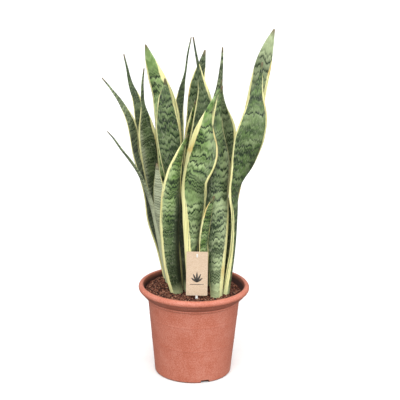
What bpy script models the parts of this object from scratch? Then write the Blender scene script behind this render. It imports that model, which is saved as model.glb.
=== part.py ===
"""Potted snake plant: a nursery pot of potting soil with eighteen sword-shaped leaves and a card label.

Frame: metres, +Z up, origin at the centre of the pot's underside, front of the plant towards -Y.
Every leaf stands in its own socket in the soil and ends just above the rhizome that it grows from.
"""
import math

import bpy
import numpy as np

MM = 0.001

# Clearance left between two pieces that touch.
GAP = 0.3 * MM

# Pot: a round, tapered nursery pot with a flared, rounded rim.
POT_HEIGHT = 175 * MM
RIM_RADIUS = 105 * MM
BEAD_RADIUS = 6.5 * MM
RIM_INNER_RADIUS = 96 * MM
WALL_RADIUS_AT_FOOT = 72.6 * MM
WALL_RADIUS_AT_COLLAR = 86.7 * MM
COLLAR_HEIGHT = 145 * MM
WALL_THICKNESS = 2.2 * MM
MOUTH_WALL_HEIGHT = 163 * MM
MOUTH_WALL_FLARE = 8 * MM
FLOOR_THICKNESS = 3.0 * MM
FOOT_ROUNDING = 3.5 * MM
POT_SEGMENTS = 48
DRAIN_SLOT_WIDTH = 16 * MM
DRAIN_SLOT_HEIGHT = 5.8 * MM
DRAIN_SLOT_ANGLES = (-71, 49, 169)
DRAIN_HOLE_RADIUS = 4.5 * MM
DRAIN_HOLE_RING_RADIUS = 42 * MM
DRAIN_HOLE_ANGLES = (-15, 105, 225)

# Soil: fills the pot to a little below the rim.
SOIL_TOP = 166 * MM
SOIL_EDGE_ROUNDING = 3 * MM

# Rhizomes: thick underground stems, one under each group of leaves.
RHIZOME_RADIUS = 7.5 * MM
RHIZOME_TOP = 138 * MM
RHIZOME_SIDES = 10
RHIZOMES = {
    "rhizome_left": [(-26, -28), (-27, -18), (-28, -7), (-27, 4), (-26, 17)],
    "rhizome_centre": [(24, -32), (12, -30), (0, -26), (-10, -16), (-11, -5), (-5, 7), (-8, 18), (-4, 30), (0, 42)],
    "rhizome_right": [(40, -40), (50, -34), (59, -22), (62, -6), (60, 10), (55, 24), (44, 24), (31, 15)],
    "rhizome_back": [(-46, 21), (-42, 32), (-41, 42), (-43, 52), (-37, 60), (-28, 62), (-17, 62)],
}

# Leaves: stations up the middle of each blade, in millimetres and degrees.
# (x, y, z, width, turn); turn 0 has the hollow face looking to the back (+Y), 90 to the left (-X).
LEAF_END = 138.6 * MM
SOCKET_EXTRA_DEPTH = 2 * MM
LEAVES = {
    "leaf_front_left": [
        (-30, -26, 162, 28, 20), (-39, -36, 215, 36, 20), (-44, -44, 275, 40, 20), (-44, -50, 345, 42, 25),
        (-39, -52, 401, 36, 35), (-29, -50, 440, 22, 45), (-14, -45, 477, 3, 50),
    ],
    "leaf_front_centre": [
        (-1, -30, 168, 26, 30), (-4, -40, 255, 32, 30), (-2, -48, 337, 46, 10), (-3, -54, 394, 54, -30),
        (12, -58, 444, 58, 0), (16, -58, 489, 42, 30), (26, -54, 529, 18, 50), (38, -50, 558, 7, 60),
        (46, -47, 580, 3, 60),
    ],
    "leaf_front_right": [
        (44, -38, 164, 28, 20), (43, -38, 218, 36, 15), (44, -36, 293, 47, 20), (41, -30, 369, 53, 25),
        (45, -26, 425, 46, 35), (39, -26, 482, 34, 45), (40, -26, 528, 16, 45), (46, -26, 564, 4, 40),
    ],
    "leaf_right_front": [
        (62, -20, 162, 24, 65), (72, -20, 249, 28, 75), (75, -22, 319, 34, 75), (75, -24, 368, 42, 60),
        (90, -26, 414, 52, 34), (98, -28, 460, 60, 20), (107, -24, 501, 52, 20), (110, -18, 541, 30, 20),
        (115, -12, 576, 10, 25), (118, -8, 605, 3, 30),
    ],
    "leaf_right_tall": [
        (58, 26, 165, 24, 135), (67, 32, 272, 32, 120), (81, 40, 369, 40, 120), (102, 48, 454, 42, 150),
        (114, 54, 539, 38, 150), (123, 56, 588, 32, 165), (132, 57, 624, 20, 160), (141, 58, 654, 3, 160),
    ],
    "leaf_right_rear": [
        (33, 16, 166, 24, 145), (41, 18, 276, 44, 140), (49, 22, 393, 56, 140), (51, 26, 469, 54, 155),
        (42, 28, 516, 34, 150), (42, 28, 548, 16, 145), (45, 29, 589, 7, 145), (46, 30, 624, 3, 145),
    ],
    "leaf_young_centre": [
        (19, -34, 168, 18, 30), (17, -46, 262, 18, 20), (20, -52, 302, 20, 30), (26, -55, 338, 16, 35),
        (35, -53, 364, 3, 40),
    ],
    "leaf_centre_tall": [
        (2, 6, 167, 24, -30), (0, 4, 280, 38, -25), (1, 0, 398, 48, -20), (11, -2, 475, 46, -20),
        (13, -2, 532, 34, -35), (7, 0, 572, 16, -45), (-1, 2, 609, 6, -50), (-8, 4, 647, 3, -50),
    ],
    "leaf_centre_narrow": [
        (-15, 18, 166, 16, 45), (-18, 22, 293, 16, 55), (-18, 24, 391, 18, 60), (-16, 26, 458, 16, 55),
        (-8, 27, 496, 11, 50), (-2, 28, 523, 3, 50),
    ],
    "leaf_centre_back": [
        (-2, 38, 168, 24, 145), (-6, 40, 288, 36, 150), (-3, 42, 406, 46, 145), (0, 42, 489, 44, 145),
        (1, 42, 544, 34, 145), (8, 42, 582, 20, 145), (14, 42, 616, 3, 145),
    ],
    "leaf_centre_rear": [
        (-21, 64, 166, 24, -135), (-27, 66, 279, 34, -135), (-35, 70, 398, 42, -125), (-36, 72, 495, 38, -120),
        (-29, 72, 537, 22, -120), (-22, 72, 568, 9, -115), (-18, 72, 602, 6, -115), (-12, 72, 634, 3, -115),
    ],
    "leaf_left_broad": [
        (-15, -7, 165, 22, -65), (-21, -12, 245, 28, -65), (-32, -14, 314, 38, -50), (-39, -14, 382, 44, -25),
        (-48, -14, 439, 46, -15), (-54, -12, 486, 46, -20), (-58, -10, 532, 30, -25), (-57, -8, 558, 11, -30),
        (-58, -8, 572, 3, -30),
    ],
    "leaf_left_tall": [
        (-29, 14, 170, 26, -45), (-38, 14, 276, 36, -45), (-48, 14, 384, 48, -20), (-53, 16, 470, 52, -15),
        (-61, 18, 526, 46, -20), (-75, 20, 567, 36, -25), (-87, 22, 600, 22, -30), (-95, 24, 628, 3, -30),
    ],
    "leaf_left_grey": [
        (-35, -8, 170, 24, -45), (-51, -10, 244, 26, -50), (-65, -12, 303, 30, -45), (-68, -12, 358, 26, -35),
        (-70, -10, 388, 14, -30), (-72, -8, 412, 3, -30),
    ],
    "leaf_left_low": [
        (-49, 26, 165, 20, -50), (-65, 22, 241, 22, -65), (-79, 18, 310, 24, -70), (-90, 14, 348, 24, -65),
        (-105, 10, 385, 22, -65), (-122, 6, 413, 18, -60), (-138, 4, 434, 13, -60), (-153, 3, 456, 7, -60),
        (-164, 2, 469, 3, -60),
    ],
    "leaf_left_mid": [
        (-37, 40, 164, 22, -135), (-60, 44, 256, 28, -130), (-75, 46, 315, 34, -125), (-84, 46, 374, 46, -130),
        (-89, 45, 427, 46, -145), (-96, 42, 472, 34, -140), (-101, 40, 514, 16, -110), (-101, 38, 549, 8, -120),
        (-98, 36, 581, 3, -120),
    ],
    "leaf_left_outer": [
        (-53, 56, 164, 20, -130), (-69, 56, 227, 24, -115), (-86, 56, 282, 28, -115), (-94, 56, 341, 30, -115),
        (-114, 56, 410, 32, -110), (-122, 54, 467, 26, -125), (-141, 50, 510, 14, -120), (-161, 46, 541, 6, -115),
        (-176, 44, 560, 3, -115),
    ],
    "leaf_left_rear": [
        (-40, 70, 166, 22, -145), (-66, 84, 253, 30, -130), (-91, 92, 341, 36, -125), (-105, 94, 429, 38, -125),
        (-112, 92, 498, 28, -130), (-125, 90, 537, 13, -125), (-132, 88, 570, 6, -120), (-138, 86, 597, 3, -120),
    ],
}
LEAF_RINGS = 15
LEAF_POINTS_ACROSS = 4
LEAF_THICKNESS_BASE = 5.5 * MM
LEAF_THICKNESS_TIP = 2.0 * MM
LEAF_MARGIN_THICKNESS = 1.2 * MM
# Half of the angle that the blade bends round across its width: a deep channel low down, nearly flat above.
CHANNEL_BASE = math.radians(65)
CHANNEL_TOP = math.radians(20)

# Label: a card hung on a flat stake by a slot near its top.
CARD_CENTRE_X = 5.5 * MM
CARD_FRONT_Y = -53.5 * MM
CARD_BOTTOM = 170 * MM
CARD_WIDTH = 40 * MM
CARD_HEIGHT = 86 * MM
CARD_THICKNESS = 0.8 * MM
CARD_CORNER_RADIUS = 1.5 * MM
CARD_SLOT_WIDTH = 3.0 * MM
CARD_SLOT_HEIGHT = 7.0 * MM
CARD_SLOT_DROP = 4.0 * MM
STAKE_WIDTH = 4.4 * MM
STAKE_THICKNESS = 1.4 * MM
STAKE_DEPTH_IN_SOIL = 45 * MM


def material(name, colour, roughness):
    """A plain Principled material of one linear colour."""
    made = bpy.data.materials.get(name) or bpy.data.materials.new(name)
    made.use_nodes = True
    shader = made.node_tree.nodes["Principled BSDF"]
    shader.inputs["Base Color"].default_value = (*colour, 1.0)
    shader.inputs["Roughness"].default_value = roughness
    shader.inputs["Metallic"].default_value = 0.0
    return made


def add_object(name, points, faces, finish):
    """A mesh object from points in metres and its faces."""
    mesh = bpy.data.meshes.new(name)
    mesh.from_pydata([tuple(point) for point in points], [], faces)
    mesh.update()
    mesh.shade_smooth()
    mesh.set_sharp_from_angle(angle=math.radians(40))
    mesh.materials.append(finish)
    made = bpy.data.objects.new(name, mesh)
    bpy.context.scene.collection.objects.link(made)
    return made


def as_cutter(made):
    """Marks an object as a cutting tool, which isn't part of the plant."""
    made.hide_render = True
    made.display_type = "WIRE"
    return made


def cut(made, cutter):
    """Takes the cutter's volume out of an object."""
    boolean = made.modifiers.new("cut_" + cutter.name, "BOOLEAN")
    boolean.operation = "DIFFERENCE"
    boolean.solver = "EXACT"
    boolean.object = as_cutter(cutter)


def box(name, low, high, finish):
    """A box between two corners."""
    xs, ys, zs = zip(low, high)
    points = [(x, y, z) for x in xs for y in ys for z in zs]
    faces = [(0, 1, 3, 2), (4, 6, 7, 5), (0, 4, 5, 1), (2, 3, 7, 6), (0, 2, 6, 4), (1, 5, 7, 3)]
    return add_object(name, points, faces, finish)


def arc(centre, radius, start, end, steps):
    """Points of a circular arc in the (radius, height) plane, angles in degrees."""
    angles = np.radians(np.linspace(start, end, steps))
    return [(centre[0] + radius * math.cos(a), centre[1] + radius * math.sin(a)) for a in angles]


def turned(name, profile, finish, segments=POT_SEGMENTS):
    """A body of revolution round Z, from an outline that starts and ends on the axis, bottom first."""
    angles = np.arange(segments) * 2 * math.pi / segments
    inner = profile[1:-1]
    points = [(0.0, 0.0, profile[0][1])]
    points += [(r * math.cos(a), r * math.sin(a), z) for r, z in inner for a in angles]
    points.append((0.0, 0.0, profile[-1][1]))
    last = len(points) - 1
    faces = []
    for k in range(segments):
        after = (k + 1) % segments
        faces.append((0, 1 + after, 1 + k))
        for row in range(len(inner) - 1):
            low, high = 1 + row * segments, 1 + (row + 1) * segments
            faces.append((low + k, low + after, high + after, high + k))
        top = 1 + (len(inner) - 1) * segments
        faces.append((top + k, top + after, last))
    return add_object(name, points, faces, finish)


def smooth_curve(knots, values, at):
    """Cubic Hermite curve through the values, with each slope taken from the two neighbours."""
    slopes = np.empty_like(values)
    slopes[1:-1] = (values[2:] - values[:-2]) / (knots[2:] - knots[:-2])[:, None]
    slopes[0] = (values[1] - values[0]) / (knots[1] - knots[0])
    slopes[-1] = (values[-1] - values[-2]) / (knots[-1] - knots[-2])
    i = np.clip(np.searchsorted(knots, at, side="right") - 1, 0, len(knots) - 2)
    span = (knots[i + 1] - knots[i])[:, None]
    s = (at - knots[i])[:, None] / span
    rise = (-2 * s**3 + 3 * s**2) * (values[i + 1] - values[i])
    lean = (s**3 - 2 * s**2 + s) * span * slopes[i] + (s**3 - s**2) * span * slopes[i + 1]
    return values[i] + rise + lean


def wall_radius(height):
    """Outer radius of the pot's straight wall at a height."""
    taper = (WALL_RADIUS_AT_COLLAR - WALL_RADIUS_AT_FOOT) / (COLLAR_HEIGHT - FOOT_ROUNDING)
    return WALL_RADIUS_AT_FOOT + taper * (height - FOOT_ROUNDING)


def inner_radius(height):
    """Inner radius of the pot's wall at a height below the rim."""
    return wall_radius(height) - WALL_THICKNESS


def make_pot():
    """The pot: straight tapered wall, flared collar, rounded rim, flat underside, drain slots and holes."""
    terracotta = material("terracotta_plastic", (0.52, 0.17, 0.11), 0.55)
    bead_centre = (RIM_RADIUS - BEAD_RADIUS, POT_HEIGHT - BEAD_RADIUS)
    lip_centre = (RIM_INNER_RADIUS + 2 * MM, POT_HEIGHT - 2.5 * MM)
    foot_centre = (WALL_RADIUS_AT_FOOT - FOOT_ROUNDING, FOOT_ROUNDING)
    outline = [(0, 0)]
    outline += arc(foot_centre, FOOT_ROUNDING, -90, 0, 4)
    outline += [(WALL_RADIUS_AT_COLLAR, COLLAR_HEIGHT)]
    outline += [(88.9 * MM, 147 * MM), (89.2 * MM, 150.5 * MM), (94.6 * MM, 154.6 * MM), (98.8 * MM, 159.2 * MM)]
    outline += arc(bead_centre, BEAD_RADIUS, -60, 90, 6)
    outline += arc(lip_centre, 2 * MM, 105, 180, 3)
    outline += [(inner_radius(COLLAR_HEIGHT) + MOUTH_WALL_FLARE, MOUTH_WALL_HEIGHT)]
    outline += [(inner_radius(COLLAR_HEIGHT), COLLAR_HEIGHT)]
    outline += [(inner_radius(FLOOR_THICKNESS), FLOOR_THICKNESS), (0, FLOOR_THICKNESS)]
    pot = turned("pot", outline, terracotta)
    slot_low = (WALL_RADIUS_AT_FOOT - 9 * MM, -DRAIN_SLOT_WIDTH / 2, -1 * MM)
    slot_high = (WALL_RADIUS_AT_FOOT + 6 * MM, DRAIN_SLOT_WIDTH / 2, DRAIN_SLOT_HEIGHT)
    for number, angle in enumerate(DRAIN_SLOT_ANGLES):
        slot = box(f"drain_slot_{number}", slot_low, slot_high, terracotta)
        slot.rotation_euler.z = math.radians(angle)
        cut(pot, slot)
    for number, angle in enumerate(DRAIN_HOLE_ANGLES):
        hole = turned(
            f"drain_hole_{number}",
            [(0, -1 * MM), (DRAIN_HOLE_RADIUS, -1 * MM), (DRAIN_HOLE_RADIUS, 6 * MM), (0, 6 * MM)],
            terracotta,
            segments=16,
        )
        turn = math.radians(angle)
        hole.location.x = DRAIN_HOLE_RING_RADIUS * math.cos(turn)
        hole.location.y = DRAIN_HOLE_RING_RADIUS * math.sin(turn)
        cut(pot, hole)


def leaf_solid(name, stations, finish, socket=False):
    """A blade lofted through its stations: an arc-shaped section, thick in the middle and thin at its margins.

    The blade runs on below its first station, in the same direction, down to its end in the soil. A section is an
    arc of the station's width; its middle is as thick as the blade there, and its margins taper to a thin edge.
    A socket is the lowest stretch of the same loft, swollen all round by the gap and sunk a little deeper.
    """
    table = np.array(stations, float) * (MM, MM, MM, MM, math.pi / 180)
    run = table[1, :3] - table[0, :3]
    first = table[0].copy()
    first[:3] -= run * (table[0, 2] - LEAF_END) / run[2]
    first[3] *= 0.9
    table = np.vstack([first, table])
    knots = np.concatenate([[0.0], np.cumsum(np.linalg.norm(np.diff(table[:, :3], axis=0), axis=1))])
    length = knots[-1]
    grow = GAP if socket else 0.0
    at = np.linspace(0, length, LEAF_RINGS)
    blade = smooth_curve(knots, table, at)
    centre, width, turn = blade[:, :3], np.maximum(blade[:, 3], 2.4 * MM) + 2 * grow, blade[:, 4]
    along = np.gradient(centre, axis=0)
    along /= np.linalg.norm(along, axis=1)[:, None]
    across = np.stack([np.cos(turn), np.sin(turn), np.zeros(LEAF_RINGS)], axis=1)
    across -= along * (across * along).sum(axis=1)[:, None]
    across /= np.linalg.norm(across, axis=1)[:, None]
    hollow = np.cross(along, across)
    part_way = at / length
    bend = CHANNEL_BASE + (CHANNEL_TOP - CHANNEL_BASE) * np.clip(1.25 * part_way, 0, 1) ** 0.8
    u = np.linspace(-1, 1, LEAF_POINTS_ACROSS)
    angle = bend[:, None] * u
    radius = (width / 2 / bend)[:, None]
    middle = radius * np.sin(bend)[:, None] / bend[:, None]
    aside, inward = radius * np.sin(angle), middle - radius * np.cos(angle)
    thick = LEAF_THICKNESS_BASE + (LEAF_THICKNESS_TIP - LEAF_THICKNESS_BASE) * part_way
    thick = np.minimum(thick, 0.4 * width)[:, None]
    half = (LEAF_MARGIN_THICKNESS + (thick - LEAF_MARGIN_THICKNESS).clip(0) * (1 - u**2) ** 0.8) / 2 + grow
    sides = []
    for sign in (1, -1):
        x = aside - sign * half * np.sin(angle)
        y = inward + sign * half * np.cos(angle)
        sides.append(centre[:, None] + across[:, None] * x[..., None] + hollow[:, None] * y[..., None])
    ring = np.concatenate([sides[0], sides[1][:, ::-1]], axis=1)
    # The lowest section is slid along the blade until it lies level.
    straight = ring[1] - ring[0]
    straight /= straight[:, 2:]
    ring[0] += straight * (LEAF_END - ring[0][:, 2])[:, None]
    if socket:
        deeper = ring[0] - straight * SOCKET_EXTRA_DEPTH
        ring = np.concatenate([deeper[None], ring[:3]])
    rings = len(ring)
    count = ring.shape[1]
    faces = []
    for row in range(rings - 1):
        for k in range(count):
            a, b = row * count + k, row * count + (k + 1) % count
            faces += [(a, a + count, b + count), (a, b + count, b)]
    last = (rings - 1) * count
    for k in range(LEAF_POINTS_ACROSS - 1):
        faces.append((k, k + 1, count - 2 - k, count - 1 - k))
        faces.append((last + k, last + count - 1 - k, last + count - 2 - k, last + k + 1))
    return add_object(name, ring.reshape(-1, 3), faces, finish)


def rhizome_solid(name, route, finish, grow=0.0):
    """A rhizome: a round rod along a smooth level curve through the route, with rounded ends."""
    knots = np.arange(len(route), dtype=float)
    rings = 3 * (len(route) - 1) + 1
    path = smooth_curve(knots, np.array(route, float) * MM, np.linspace(0, len(route) - 1, rings))
    forward = np.gradient(path, axis=0)
    forward /= np.linalg.norm(forward, axis=1)[:, None]
    # Each end closes with two smaller rings on a half ball.
    swell = np.array([0.45, 0.85])
    reach = np.sqrt(1 - swell**2) * (RHIZOME_RADIUS + grow)
    path = np.vstack([path[:1] - forward[:1] * reach[:, None], path, path[-1:] + forward[-1:] * reach[::-1, None]])
    forward = np.vstack([forward[[0, 0]], forward, forward[[-1, -1]]])
    radius = np.concatenate([swell, np.ones(rings), swell[::-1]]) * (RHIZOME_RADIUS + grow)
    angle = np.arange(RHIZOME_SIDES) * 2 * math.pi / RHIZOME_SIDES
    sideways = np.stack([-forward[:, 1], forward[:, 0]], axis=1)
    level = path[:, None] + sideways[:, None] * (radius[:, None] * np.cos(angle))[..., None]
    height = RHIZOME_TOP - RHIZOME_RADIUS + radius[:, None] * np.sin(angle)
    points = np.concatenate([level, height[..., None]], axis=2).reshape(-1, 3)
    count = RHIZOME_SIDES
    last = len(path) - 1
    faces = [tuple(reversed(range(count))), tuple(last * count + k for k in range(count))]
    for row in range(last):
        for k in range(count):
            a, b = row * count + k, row * count + (k + 1) % count
            faces.append((a, b, b + count, a + count))
    return add_object(name, points, faces, finish)


def make_plant():
    """The leaves and the rhizomes that they grow from."""
    blade = material("leaf_blade", (0.10, 0.20, 0.09), 0.4)
    rootstock = material("rhizome_skin", (0.55, 0.38, 0.20), 0.6)
    for name, stations in LEAVES.items():
        leaf_solid(name, stations, blade)
    for name, route in RHIZOMES.items():
        rhizome_solid(name, route, rootstock)


def make_label():
    """The card label and the flat stake that holds it."""
    card_stock = material("kraft_card", (0.58, 0.40, 0.25), 0.85)
    white = material("white_plastic", (0.85, 0.85, 0.82), 0.4)
    left, right = CARD_CENTRE_X - CARD_WIDTH / 2, CARD_CENTRE_X + CARD_WIDTH / 2
    bottom, top = CARD_BOTTOM, CARD_BOTTOM + CARD_HEIGHT
    r = CARD_CORNER_RADIUS
    outline = arc((right - r, top - r), r, 0, 90, 4) + arc((left + r, top - r), r, 90, 180, 4)
    outline += arc((left + r, bottom + r), r, 180, 270, 4) + arc((right - r, bottom + r), r, 270, 360, 4)
    count = len(outline)
    points = [(x, y, z) for y in (CARD_FRONT_Y, CARD_FRONT_Y + CARD_THICKNESS) for x, z in outline]
    faces = [tuple(range(count))[::-1], tuple(range(count, 2 * count))]
    faces += [(k, (k + 1) % count, count + (k + 1) % count, count + k) for k in range(count)]
    card = add_object("label_card", points, [face[::-1] for face in faces], card_stock)
    slot_top = top - CARD_SLOT_DROP
    slot_low = (CARD_CENTRE_X - CARD_SLOT_WIDTH / 2, CARD_FRONT_Y - 2 * MM, slot_top - CARD_SLOT_HEIGHT)
    slot_high = (CARD_CENTRE_X + CARD_SLOT_WIDTH / 2, CARD_FRONT_Y + 4 * MM, slot_top)
    cut(card, box("card_slot", slot_low, slot_high, card_stock))
    back = CARD_FRONT_Y + CARD_THICKNESS + GAP
    add_stake(back, slot_low, slot_high, white)


def stake_outline():
    """Front outline of the stake, in X and Z: straight sides above a point in the soil."""
    half = STAKE_WIDTH / 2
    top = CARD_BOTTOM + CARD_HEIGHT - 1 * MM
    tip = SOIL_TOP - STAKE_DEPTH_IN_SOIL
    shoulder = tip + 12 * MM
    return half, top, shoulder, tip


def add_stake(back, slot_low, slot_high, finish):
    """The stake stands behind the card, and its tongue comes forward through the card's slot."""
    half, top, shoulder, tip = stake_outline()
    x0 = CARD_CENTRE_X
    y0, y1 = back, back + STAKE_THICKNESS
    tongue_half = CARD_SLOT_WIDTH / 2 - GAP
    low, high = slot_low[2] + GAP, slot_high[2] - 2 * MM
    front = CARD_FRONT_Y - 0.6 * MM
    outline = [(0, tip), (half, shoulder), (half, top), (-half, top), (-half, shoulder)]
    count = len(outline)
    points = [(x0 + x, y, z) for y in (y0, y1) for x, z in outline]
    faces = [tuple(range(count)), tuple(range(count, 2 * count))[::-1]]
    faces += [(k, count + k, count + (k + 1) % count, (k + 1) % count) for k in range(count)]
    stake = add_object("label_stake", points, faces, finish)
    tongue = box("stake_tongue", (x0 - tongue_half, front, low), (x0 + tongue_half, y0 + 0.5 * MM, high), finish)
    join = stake.modifiers.new("tongue", "BOOLEAN")
    join.operation = "UNION"
    join.solver = "EXACT"
    join.object = as_cutter(tongue)


def make_soil():
    """The soil: fills the pot, with a socket for each leaf and the stake, and a tunnel for each rhizome."""
    peat = material("potting_soil", (0.13, 0.055, 0.035), 0.95)
    floor = FLOOR_THICKNESS + GAP
    edge = inner_radius(COLLAR_HEIGHT) - GAP
    top_edge = edge + 7.5 * MM
    outline = [(0, floor), (inner_radius(floor) - GAP, floor), (edge, COLLAR_HEIGHT)]
    outline += [(top_edge, SOIL_TOP - SOIL_EDGE_ROUNDING), (top_edge - SOIL_EDGE_ROUNDING, SOIL_TOP), (0, SOIL_TOP)]
    soil = turned("potting_soil", outline, peat)
    for name, stations in LEAVES.items():
        cut(soil, leaf_solid("socket_" + name, stations, peat, socket=True))
    for name, route in RHIZOMES.items():
        cut(soil, rhizome_solid("tunnel_" + name, route, peat, grow=GAP))
    half, top, shoulder, tip = stake_outline()
    y0 = CARD_FRONT_Y + CARD_THICKNESS
    low = (CARD_CENTRE_X - half - GAP, y0, tip - GAP)
    high = (CARD_CENTRE_X + half + GAP, y0 + STAKE_THICKNESS + 2 * GAP, SOIL_TOP + 5 * MM)
    cut(soil, box("socket_stake", low, high, peat))


def main():
    """Clears the scene and builds every piece."""
    for old in list(bpy.data.objects):
        bpy.data.objects.remove(old, do_unlink=True)
    make_pot()
    make_plant()
    make_label()
    make_soil()


main()
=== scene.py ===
"""Looks of the potted snake plant: fine leaves, pot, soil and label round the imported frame.

Everything is in metres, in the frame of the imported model: +Z up, the plant's front towards -Y.
"""
import math
from functools import partial

import bpy
import numpy as np
from mathutils import Matrix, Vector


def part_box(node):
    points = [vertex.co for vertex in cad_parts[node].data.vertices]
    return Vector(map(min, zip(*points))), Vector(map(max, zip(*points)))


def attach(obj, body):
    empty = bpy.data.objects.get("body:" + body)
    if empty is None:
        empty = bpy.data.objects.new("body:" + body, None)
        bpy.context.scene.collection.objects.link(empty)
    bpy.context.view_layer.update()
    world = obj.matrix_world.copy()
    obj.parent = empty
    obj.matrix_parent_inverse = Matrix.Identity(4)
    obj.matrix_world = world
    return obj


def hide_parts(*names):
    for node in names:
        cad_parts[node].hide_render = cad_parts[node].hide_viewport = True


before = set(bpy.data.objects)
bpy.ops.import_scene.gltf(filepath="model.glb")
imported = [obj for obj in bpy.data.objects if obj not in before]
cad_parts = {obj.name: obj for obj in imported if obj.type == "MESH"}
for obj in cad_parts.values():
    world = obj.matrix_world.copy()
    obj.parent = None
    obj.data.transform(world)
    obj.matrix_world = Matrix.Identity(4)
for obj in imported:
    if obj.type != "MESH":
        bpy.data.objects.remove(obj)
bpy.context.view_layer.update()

bl_info = {
    "name": "Potted Snake Plant",
    "version": (1, 0, 0),
    "blender": (4, 5, 0),
    "location": "View3D > Sidebar > Snake Plant",
    "description": "Builds the leaves, pot, soil, label and studio of a potted snake plant",
    "category": "Add Mesh",
}

MM = 0.001
POT_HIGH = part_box("pot")[1]
SOIL_LOW, SOIL_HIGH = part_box("potting_soil")
CARD_LOW, CARD_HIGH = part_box("label_card")
LEAF_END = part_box("leaf_front_left")[0].z

# Soft lights, far off: name, direction they come from, spread in degrees, strength.
STUDIO_LIGHTS = (
    ("key_light", (-0.25, -1.95, 1.5), 45, 2.1),
    ("right_fill", (2.2, -1.1, 0.9), 70, 1.6),
    ("left_fill", (-2.3, -0.9, 0.8), 70, 0.8),
)

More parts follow.
